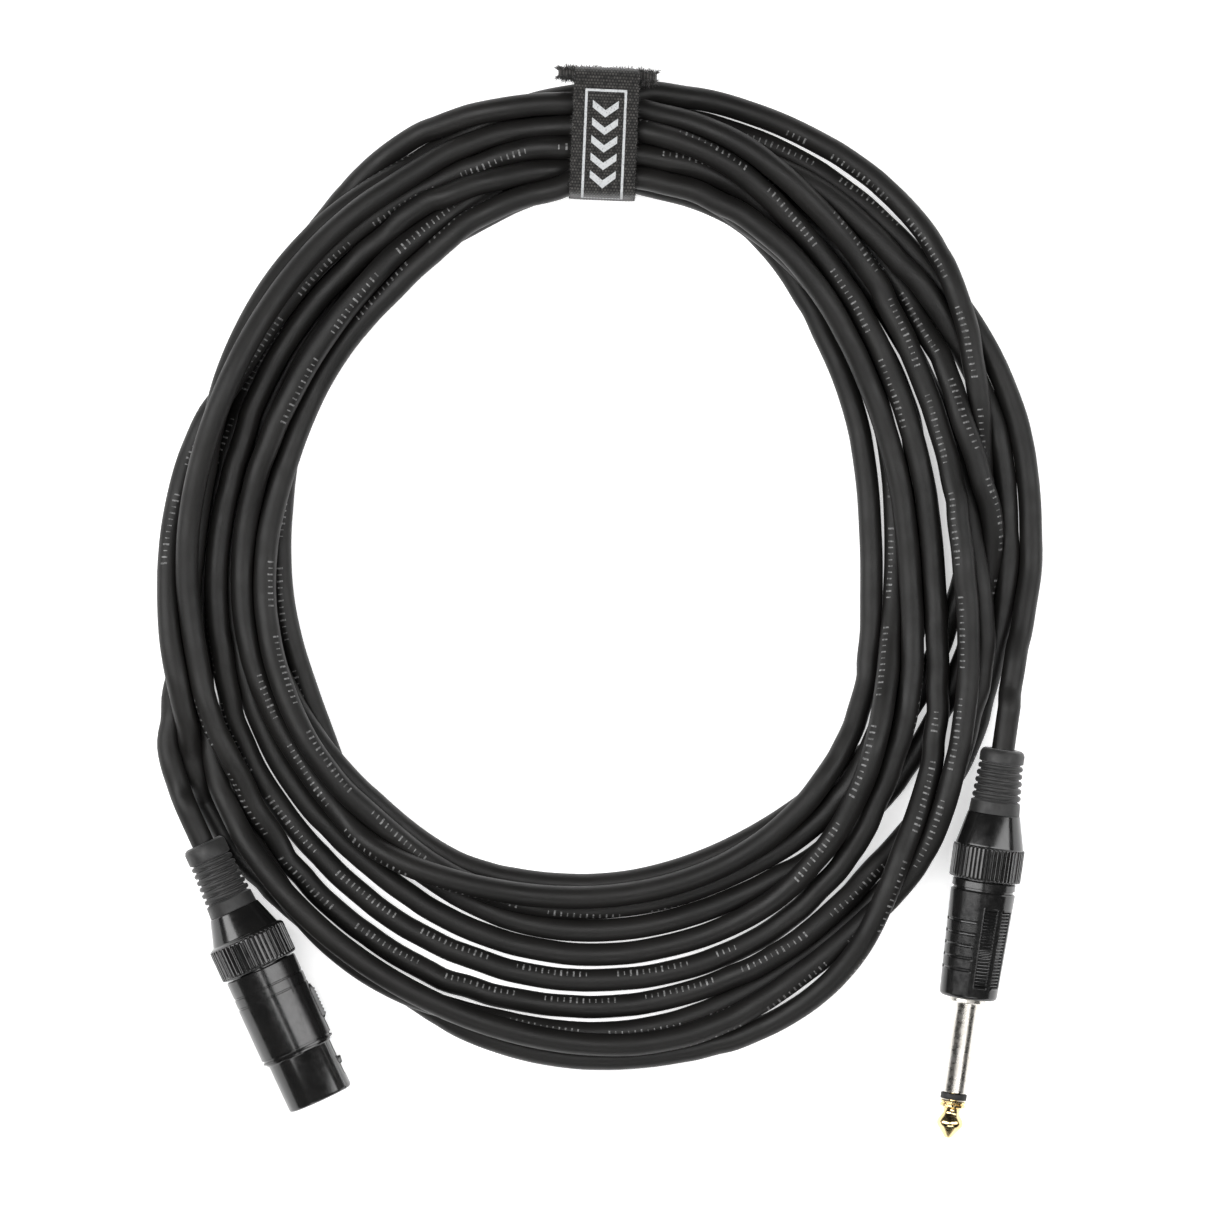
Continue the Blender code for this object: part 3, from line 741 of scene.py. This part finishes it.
# ---------------------------------------------------------------- connectors
# Turned profiles are (radius, s) points in mm, with s from the mating end towards the cable.

BOOT_GROOVE = 0.75
BOOT_BORE = 3.05


def boot(matrix, start, end, radii, ribs, base, collar):
    """A rubber strain relief: plain base band, rounded ribs, and a collar with a chamfered end."""
    first, last = start + base, end - collar
    pitch = (last - first) / ribs

    def skin(s):
        return radii[0] + (radii[1] - radii[0]) * (s - start) / (end - start)

    profile = [(skin(start), start), (skin(first), first - 0.4), (skin(first) - BOOT_GROOVE, first)]
    for rib in range(ribs):
        middle = first + (rib + 0.5) * pitch
        for turn in np.linspace(-90, 90, 7):
            out = math.cos(math.radians(turn))
            place = middle + 0.38 * pitch * math.sin(math.radians(turn))
            profile.append((skin(middle) - BOOT_GROOVE * (1 - out**0.7), place))
    collar_r = skin(last)
    profile += [(collar_r - BOOT_GROOVE, last), (collar_r, last + 0.35)]
    profile += [(collar_r, end - 1.1), (collar_r - 0.35, end - 0.35), (collar_r - 0.9, end)]
    profile += [(BOOT_BORE, end), (BOOT_BORE, start)]
    return lathe(matrix, profile, 72)


def make_socket():
    """The XLR socket's shell, insert, latch, nut and boot."""
    thread = []
    for k in range(5):
        top = 40.6 - k * 1.1
        thread += [(7.3, top), (6.95, top - 0.3), (6.95, top - 0.7), (7.3, top - 1.0)]
    profile = [(7.0, 41.0), *thread, (7.3, 34.7), (8.75, 34.7), (8.95, 34.4), (8.95, 30.5)]
    profile += [(8.8, 30.35), (8.8, 30.1)]
    profile += [(9.05, 29.95), (9.05, 27.9), (8.9, 27.75), (8.9, 27.5), (9.15, 27.35)]
    profile += [(9.15, 14.0), (8.75, 13.9), (8.75, 13.5), (9.15, 13.4), (9.1, 12.95)]
    profile += [(8.5, 12.8), (8.5, 12.45), (8.25, 12.35), (8.1, 12.1)]
    profile += [(8.1, 0.7), (7.95, 0.25), (7.55, 0.0), (7.0, 0.0), (6.9, 0.2)]
    profile += [(6.9, 33.2), (6.4, 33.8), (6.4, 41.0)]

    def seam(angle, s, radius):
        off = np.minimum(np.abs(angle - 31.5), np.abs(angle - 328.5))
        return -0.22 * (off < 1.3) * (s < 12) * (radius > 7.9)

    shell = lathe(XLR, profile, 288, seam)
    window = slab(XLR, [(3.0, 3.4), (14.0, 3.4), (14.0, 27.4), (3.0, 27.4)], -2.2, 2.2, 0.0)
    slot = slab(XLR, [(5.0, 26.2), (5.6, 26.2), (5.6, 30.0), (5.0, 30.0)], -12.0, -6.9, 0.0)
    piece("socket_shell", carved(shell, [window, slot]), "black_shell", "cable", ["xlr_shell"])

    body = lathe(XLR, softened([(0.0, 20.0), (6.6, 20.0), (6.6, 1.1), (6.1, 0.6), (0.0, 0.6)], 0.2), 96)
    holes = [slab(XLR, [(2.9, -1.0), (9.0, -1.0), (9.0, 22.0), (2.9, 22.0)], -2.4, 2.4, 0.0)]
    for x, y in ((0.6, 3.9), (0.6, -3.9), (-3.9, 0.0)):
        bore = [(0.0, 23.0), (1.7, 23.0), (1.7, 1.3), (2.1, 0.5), (2.1, -1.0), (0.0, -1.0)]
        holes.append(lathe(XLR @ Matrix.Translation((x, y, 0)), bore, 32))
    piece("socket_insert", carved(body, holes), "insert_plastic", "cable", ["xlr_insert"])

    grip = [(9.55 if k % 2 else 9.95, 18.6 + 0.45 * k) for k in range(16)]
    outline = [(5.1, 4.2), (6.3, 4.2), (6.4, 5.0), (8.5, 6.2), (8.7, 7.8), (6.4, 8.0)]
    outline += [(6.3, 17.0), (9.3, 17.6), *grip, (9.3, 26.4), (6.3, 26.8), (6.3, 32.4), (5.1, 32.4)]
    lever = slab(XLR, outline, -1.75, 1.75, 0.12)
    pin = [(0.0, -2.8), (0.7, -2.8), (0.7, 2.8), (0.0, 2.8)]
    across = Matrix.Translation((5.2, 0, 32.0)) @ Matrix.Rotation(math.radians(90), 4, "X")
    latch = carved(lever, [lathe(XLR @ across, pin, 24)], "UNION")
    piece("socket_latch", latch, "black_nut", "xlr_latch", ["xlr_latch"])

    nut = [(6.2, 50.0), (8.35, 43.6), (9.15, 43.2), (9.6, 42.75), (9.6, 35.35), (9.25, 35.0), (7.6, 35.0)]
    nut += [(7.6, 42.2), (4.6, 46.0), (4.6, 50.0)]
    knurl = ridged(50, 0.42, (35.3, 42.9, 9.0))
    mesh = lathe(XLR, finely(softened(nut, 0.25), (35.3, 42.9, 9.0), 0.3), 500, knurl)
    piece("socket_nut", mesh, "black_nut", "xlr_nut", ["xlr_nut"])
    mesh = boot(XLR, 50.05, 67.6, (5.95, 5.0), 6, 3.3, 4.3)
    piece("socket_boot", mesh, "boot_rubber", "xlr_boot", ["xlr_boot"])


def housing_relief(angle, s, radius):
    """Two grip panels of fine ribs with a smooth spine, and two fields of fine grooves between them."""
    outer = radius > 6.6
    depth = np.zeros_like(s + angle)
    for middle in (51.5, 231.5):
        off = np.abs(angle - middle)
        panel = (off < 31.5) & (off > 6.5) & (s > 37.55) & (s < 56.05)
        rib = np.clip(1.5 * np.abs(((s - 37.6) / 0.8) % 1 - 0.5) * 2 - 0.4, 0, 1)
        depth = np.where(panel, -0.12 - 0.42 * rib, depth)
        rim = (off < 33.5) & (s > 37.1) & (s < 56.5) & ~panel & (off > 6.5)
        depth = np.where(rim, 0.1, depth)
    for middle in (138.5, 318.5):
        off = np.minimum(np.abs(angle - middle), 360 - np.abs(angle - middle))
        row = np.abs(((s - 41.2) / 2.9 + 0.5) % 1 - 0.5) * 2.9
        groove = (off < 44) & (s > 40.0) & (s < 54.0)
        depth = np.where(groove, -0.35 * np.clip((0.42 - row) / 0.2, 0, 1), depth)
    return depth * outer * (s > 36) * (s < 59)


def make_plug():
    """The 6.35 mm plug's tip, ring, sleeve, housing, nut and boot, which are returned."""
    made = []

    def add(name, mesh, finish, body, node):
        made.append(piece(name, mesh, finish, body, [node]))

    tip = [(0.0, 44.0), (1.2, 44.0), (1.2, 9.2), (2.9, 9.2), (3.12, 9.0), (3.12, 8.75)]
    tip += [(2.75, 8.6), (2.75, 8.4), (3.1, 8.25), (3.1, 7.75), (2.2, 7.3)]
    tip += [(1.9 + 0.08 * (k - 3) ** 2 / 9, 7.0 - 0.2 * k) for k in range(1, 6)]
    tip += [(2.35, 5.4), (2.95, 4.5), (3.15, 3.9), (3.15, 3.35), (2.9, 2.85)]
    tip += [(0.95, 0.35), (0.7, 0.08), (0.45, 0.0), (0.0, 0.0)]
    add("plug_tip", lathe(JACK, tip, 96), "gold", "cable", "jack_tip")
    ring = softened([(3.15, 10.9), (3.15, 9.5), (1.5, 9.5), (1.5, 10.9)], 0.1)
    add("plug_ring", lathe(JACK, ring, 96), "insert_plastic", "cable", "jack_insulator_ring")
    sleeve = [(5.6, 42.0), (5.6, 34.3), (4.6, 34.0), (4.3, 34.0), (4.3, 33.25), (4.1, 33.0), (3.3, 33.0)]
    sleeve += [(3.175, 32.8), (3.175, 11.4), (3.05, 11.2), (2.3, 11.2), (2.3, 42.0)]
    add("plug_sleeve", lathe(JACK, sleeve, 128), "nickel", "cable", "jack_sleeve")
    housing = [(6.4, 69.0), (6.4, 62.75), (7.35, 62.7), (7.62, 62.4), (7.62, 60.95)]
    housing += [(7.2, 60.8), (7.2, 60.35), (7.6, 60.2), (7.8, 59.9), (6.95, 35.0), (6.75, 34.6), (6.4, 34.3)]
    housing += [(5.9, 34.3), (5.9, 62.0), (5.5, 62.6), (5.5, 69.0)]
    fine = finely(housing, (36.5, 58.5, 6.6), 0.1)
    add("plug_housing", lathe(JACK, fine, 240, housing_relief), "black_shell", "cable", "jack_housing")
    nut = [(6.3, 79.0), (8.15, 71.45), (8.2, 71.1), (8.45, 71.0), (8.6, 70.75), (8.6, 63.25)]
    nut += [(8.35, 63.0), (6.7, 63.0), (6.7, 69.8), (4.6, 74.4), (4.6, 79.0)]
    zone = (63.1, 71.0, 8.3)
    mesh = lathe(JACK, finely(softened(nut, 0.22), zone, 0.3), 520, ridged(52, 0.4, zone))
    add("plug_nut", mesh, "black_nut", "jack_nut", "jack_nut")
    mesh = boot(JACK, 79.05, 94.5, (6.15, 5.15), 5, 3.2, 3.4)
    add("plug_boot", mesh, "boot_rubber", "jack_boot", "jack_boot")
    return made


# ---------------------------------------------------------------- tie

def tie_matrix():
    """The tie's plane in mm: x outward from the coil's middle, y up, z across the band."""
    turn = math.radians(TIE_ANGLE)
    outward, up = Vector((math.sin(turn), math.cos(turn), 0)), Vector((0, 0, 1))
    axes = Matrix((outward, up, outward.cross(up))).transposed().to_4x4()
    return Matrix.Translation(Vector((*COIL_MIDDLE, 0)) * MM) @ axes @ Matrix.Scale(MM, 4)


TIE = tie_matrix()


def rounded_path(corners, fillet, step=0.5, loop=False):
    """A path through (outward, up) corners with round bends, and its points about a step apart."""
    count = len(corners)
    rounded = []
    for i, corner in enumerate(corners):
        corner = np.array(corner, float)
        if not loop and i in (0, count - 1):
            rounded.append(corner)
            continue
        before, after = np.array(corners[i - 1], float), np.array(corners[(i + 1) % count], float)
        into = corner + (before - corner) * min(0.5, fillet / np.linalg.norm(before - corner))
        out = corner + (after - corner) * min(0.5, fillet / np.linalg.norm(after - corner))
        for t in np.linspace(0, 1, 8):
            rounded.append((1 - t) ** 2 * into + 2 * t * (1 - t) * corner + t * t * out)
    if loop:
        rounded.append(rounded[0])
    flat = np.array([(a, b, 0.0) for a, b in rounded])
    return spread(flat, step)[:, :2]


def strip(path, width, thick, loop=False, wander=0.12, seed=1, columns=19, relief=0.0):
    """A woven strip along a path in the tie's plane: its faces, thin edges and slightly uneven sides."""
    rng = np.random.default_rng(seed)
    way = np.gradient(path, axis=0)
    if loop:
        way[0] = way[-1] = path[1] - path[-2]
    way /= np.linalg.norm(way, axis=1, keepdims=True)
    normal = np.stack([way[:, 1], -way[:, 0]], axis=1)
    along = np.concatenate([[0], np.cumsum(np.linalg.norm(np.diff(path, axis=0), axis=1))])
    lanes = np.linspace(-1, 1, columns)
    crown = 1 - 0.28 * np.abs(lanes) ** 6
    count, rows = len(path), []
    edge = rng.normal(0, wander, (count, 2))
    if loop:
        edge[-1] = edge[0]
    across = np.where(lanes < 0, lanes * (width / 2 + edge[:, :1]), lanes * (width / 2 + edge[:, 1:]))
    picks = np.floor(along / WEAVE_PITCH)[:, None]
    weft = np.sin(np.pi * (along[:, None] / WEAVE_PITCH - picks))
    warp = np.abs(np.sin(np.pi * (across / WEAVE_PITCH + 0.5 * (picks % 2))))
    cloth = relief * weft * warp
    for face in (1, -1):
        for k in (range(columns) if face == 1 else range(columns - 1, -1, -1)):
            shift = face * (thick / 2 * crown[k] + cloth[:, k:k + 1])
            rows.append(np.column_stack([path + shift * normal, across[:, k]]))
    ring = np.stack(rows, axis=1)
    size = ring.shape[1]
    last = count - 1 if loop else count
    verts = ring[:last].reshape(-1, 3)
    faces, uv = [], []
    for a in range(count - 1):
        for b in range(size):
            c = (b + 1) % size
            after = (a + 1) % last
            faces.append((a * size + b, a * size + c, after * size + c, after * size + b))
            u = [along[a], along[a], along[a + 1], along[a + 1]]
            v = [ring[a, b, 2], ring[a, c, 2], ring[a + 1, c, 2], ring[a + 1, b, 2]]
            uv += [value for pair in zip(u, v) for value in pair]
    if not loop:
        faces += [tuple(range(size))[::-1], tuple((count - 1) * size + b for b in range(size))]
        for a in (0, count - 1):
            order = range(size)[::-1] if a == 0 else range(size)
            uv += [value for b in order for value in (along[a], ring[a, b, 2])]
    mesh = raw_mesh("strip", verts, faces)
    mesh.uv_layers.new(name="UVMap").data.foreach_set("uv", uv)
    mesh.transform(TIE)
    return mesh


def fibres(roots, ways, length, thick, seed, curl=0.7):
    """Short curled fibres: one thin three-sided tube from each root, in the tie's frame."""
    rng = np.random.default_rng(seed)
    verts, faces = [], []
    for root, way in zip(roots, ways):
        size = length * rng.uniform(0.5, 1.3)
        bend = rng.normal(0, curl, 3)
        start = len(verts)
        for t, radius in ((0.0, thick), (0.5, thick * 0.8), (1.0, thick * 0.3)):
            middle = root + way * size * t + bend * size * t * t * 0.6
            one = np.cross(way, bend + 0.01)
            one /= np.linalg.norm(one)
            two = np.cross(way, one)
            for turn in (0.0, 2.094, 4.189):
                verts.append(middle + radius * (one * math.cos(turn) + two * math.sin(turn)))
        for ring in (0, 3):
            for side in range(3):
                nxt = (side + 1) % 3
                low = start + ring
                faces.append((low + side, low + nxt, low + 3 + nxt, low + 3 + side))
        faces += [(start + 2, start + 1, start), (start + 6, start + 7, start + 8)]
    mesh = raw_mesh("fibres", verts, faces)
    mesh.transform(TIE)
    return mesh


def edge_fibres(path, width, count, seed, length=0.55):
    """Fibres standing out of both edges and the faces near them of a strip."""
    rng = np.random.default_rng(seed)
    roots, ways = [], []
    for _ in range(count):
        place = path[rng.integers(len(path))]
        side = rng.choice((-1, 1))
        outward, up = place + (rng.uniform(-0.4, 0.4), rng.uniform(-0.35, 0.35))
        roots.append(np.array((outward, up, side * (width / 2 - 0.15))))
        way = np.array((rng.normal(0, 0.5), rng.normal(0, 0.5), side * 1.0))
        ways.append(way / np.linalg.norm(way))
    return fibres(roots, ways, length, 0.045, seed + 1)


def make_tie():
    """The band round the bundle, its fuzzy T head outside, and the printed tail folded over the top."""
    inside, outside = TIE_INSIDE - 0.55, TIE_OUTSIDE + 0.55
    low, high = 0.95, 16.85
    loop = rounded_path([(outside, high), (outside, low), (inside, low), (inside, high)], 4.2, loop=True)
    band_mesh = strip(loop, TIE_WIDTH, 1.05, loop=True, seed=3)
    band = piece("tie_wrap", band_mesh, "tie_fabric", "cable", ["tie_band"])
    band_pile = edge_fibres(loop, TIE_WIDTH, 500, 5)
    band_fuzz = piece("tie_wrap_fuzz", band_pile, "tie_pile", "cable")

    head_path = rounded_path([(116.2, 8.9), (116.2, 16.3)], 1.0)
    head_mesh = strip(head_path, HEAD_WIDTH, 1.7, wander=0.25, seed=7)
    head = piece("tie_crossbar", head_mesh, "tie_fabric", "cable", ["tie_head"])
    rng = np.random.default_rng(11)
    roots, ways = [], []
    for _ in range(5200):
        side, across = rng.choice((-1, 1)), rng.uniform(-11.6, 11.6)
        roots.append(np.array((116.2 + 0.75 * side, rng.uniform(8.9, 16.6), across)))
        past_end = np.sign(across) * (abs(across) > 11)
        way = np.array((side * rng.uniform(0.3, 1.0), rng.normal(0.25, 0.6), rng.normal(0, 0.4) + past_end))
        ways.append(way / np.linalg.norm(way))
    pile = fibres(roots, ways, 1.05, 0.08, 13)
    head_fuzz = piece("tie_crossbar_fuzz", pile, "tie_pile", "cable")

    corners = [(117.5, 10.2), (117.3, 18.2), (87.9, 18.2), (86.7, 10.8)]
    tail_path = rounded_path(corners, 2.6, 0.18)
    tail_mesh = strip(tail_path, TIE_WIDTH, 0.9, seed=9, columns=88, relief=0.1)
    tail = piece("tie_flap", tail_mesh, "tie_printed", "", ["tie_tail"])
    tail_pile = edge_fibres(tail_path[18:], TIE_WIDTH, 420, 17)
    tail_fuzz = piece("tie_flap_fuzz", tail_pile, "tie_pile", "")
    for part in (tail, tail_fuzz):
        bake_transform(part)


# ---------------------------------------------------------------- stage

def make_stage():
    """A plain pale floor and soft light from above and both sides."""
    floor_mesh = raw_mesh("floor", [(-3, -3, 0), (3, -3, 0), (3, 3, 0), (-3, 3, 0)], [(0, 1, 2, 3)])
    floor = bpy.data.objects.new("floor", floor_mesh)
    bpy.context.collection.objects.link(floor)
    pale = Finish("floor", Roughness=0.9, Specular_IOR_Level=0.1)
    pale.shader.inputs["Base Color"].default_value = grey(0.93)
    pale.shader.inputs["Emission Color"].default_value = grey(1.0)
    pale.shader.inputs["Emission Strength"].default_value = 0.55
    floor_mesh.materials.append(pale.material)
    lights = (
        ("key", (-0.75, 0.15, 1.0), (0.6, 1.7), 21.0),
        ("fill", (0.8, 0.1, 0.95), (0.5, 1.6), 13.0),
        ("front", (0.1, -1.0, 0.8), (1.0, 0.3), 4.0),
    )
    for name, place, size, power in lights:
        lamp = bpy.data.lights.new(name, "AREA")
        lamp.shape = "RECTANGLE"
        lamp.size, lamp.size_y, lamp.energy = *size, power
        holder = bpy.data.objects.new(name, lamp)
        holder.location = place
        holder.rotation_euler = (-Vector(place)).to_track_quat("-Z", "Y").to_euler()
        bpy.context.collection.objects.link(holder)
    world = bpy.data.worlds.new("studio")
    world.use_nodes = True
    tree = world.node_tree
    way = tree.nodes.new("ShaderNodeTexCoord")
    split = tree.nodes.new("ShaderNodeSeparateXYZ")
    fade = tree.nodes.new("ShaderNodeMapRange")
    tree.links.new(way.outputs["Generated"], split.inputs[0])
    tree.links.new(split.outputs["Z"], fade.inputs["Value"])
    for socket, value in (("From Min", 0.15), ("From Max", 0.9), ("To Min", 0.45), ("To Max", 0.07)):
        fade.inputs[socket].default_value = value
    tree.links.new(fade.outputs["Result"], tree.nodes["Background"].inputs["Strength"])
    bpy.context.scene.world = world
    bpy.context.scene.view_settings.view_transform = "Standard"


def make_camera():
    data = bpy.data.cameras.new("camera")
    data.sensor_width = 36.0
    data.lens = 36.0 * (VIEW_HEIGHT - FOCUS_HEIGHT) / VIEW_SIDE
    camera = bpy.data.objects.new("camera", data)
    camera.location = (*VIEW_MIDDLE, VIEW_HEIGHT)
    bpy.context.collection.objects.link(camera)
    bpy.context.scene.camera = camera


# ---------------------------------------------------------------- the object

make_camera()
make_stage()
cable, route, cable_length = make_cable()
cable.data.materials.append(FINISHES["cable_jacket"])
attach(cable, "cable")
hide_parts("cable_coil", "cable_lead_xlr", "cable_lead_jack")
make_socket()
plug = make_plug()
make_tie()
for node in NODES.values():
    if not node.hide_render:
        node.data.materials[0] = FINISHES[node.data.materials[0].name]
